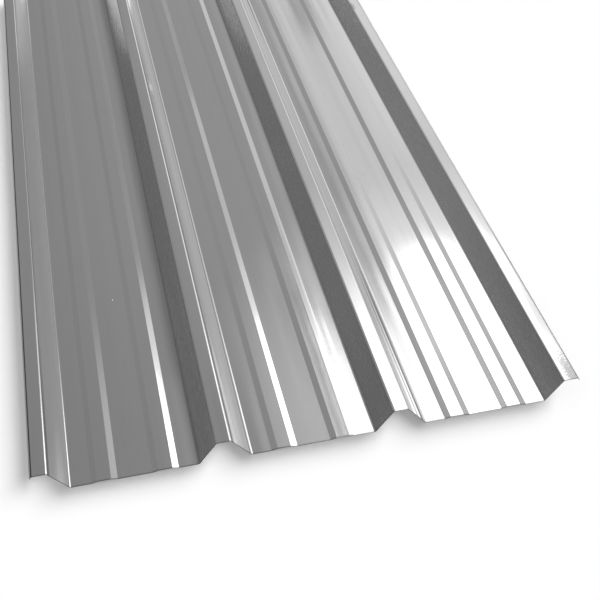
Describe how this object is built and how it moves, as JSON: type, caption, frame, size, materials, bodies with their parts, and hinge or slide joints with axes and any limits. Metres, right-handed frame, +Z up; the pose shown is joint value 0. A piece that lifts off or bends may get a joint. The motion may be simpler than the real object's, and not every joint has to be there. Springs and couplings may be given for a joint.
{
  "type": "trapezoidal ribbed roofing sheet",
  "caption": "Roll-formed steel roofing sheet with trapezoidal ribs, flat pans with shallow stiffeners, and short turned-down edge lips.",
  "frame": {"origin": "middle of the sheet's width and length, in the plane of the undersides of its pans, which is what it rests on", "axes": "+X across the ribs, +Y along the ribs, +Z up out of the weather face"},
  "size_m": [1.035, 2.1, 0.045],
  "materials": {
    "zinc_coated_steel": "gloss"
  },
  "bodies": {
    "root": {"roofing_sheet": "zinc_coated_steel"}
  },
  "joints": []
}
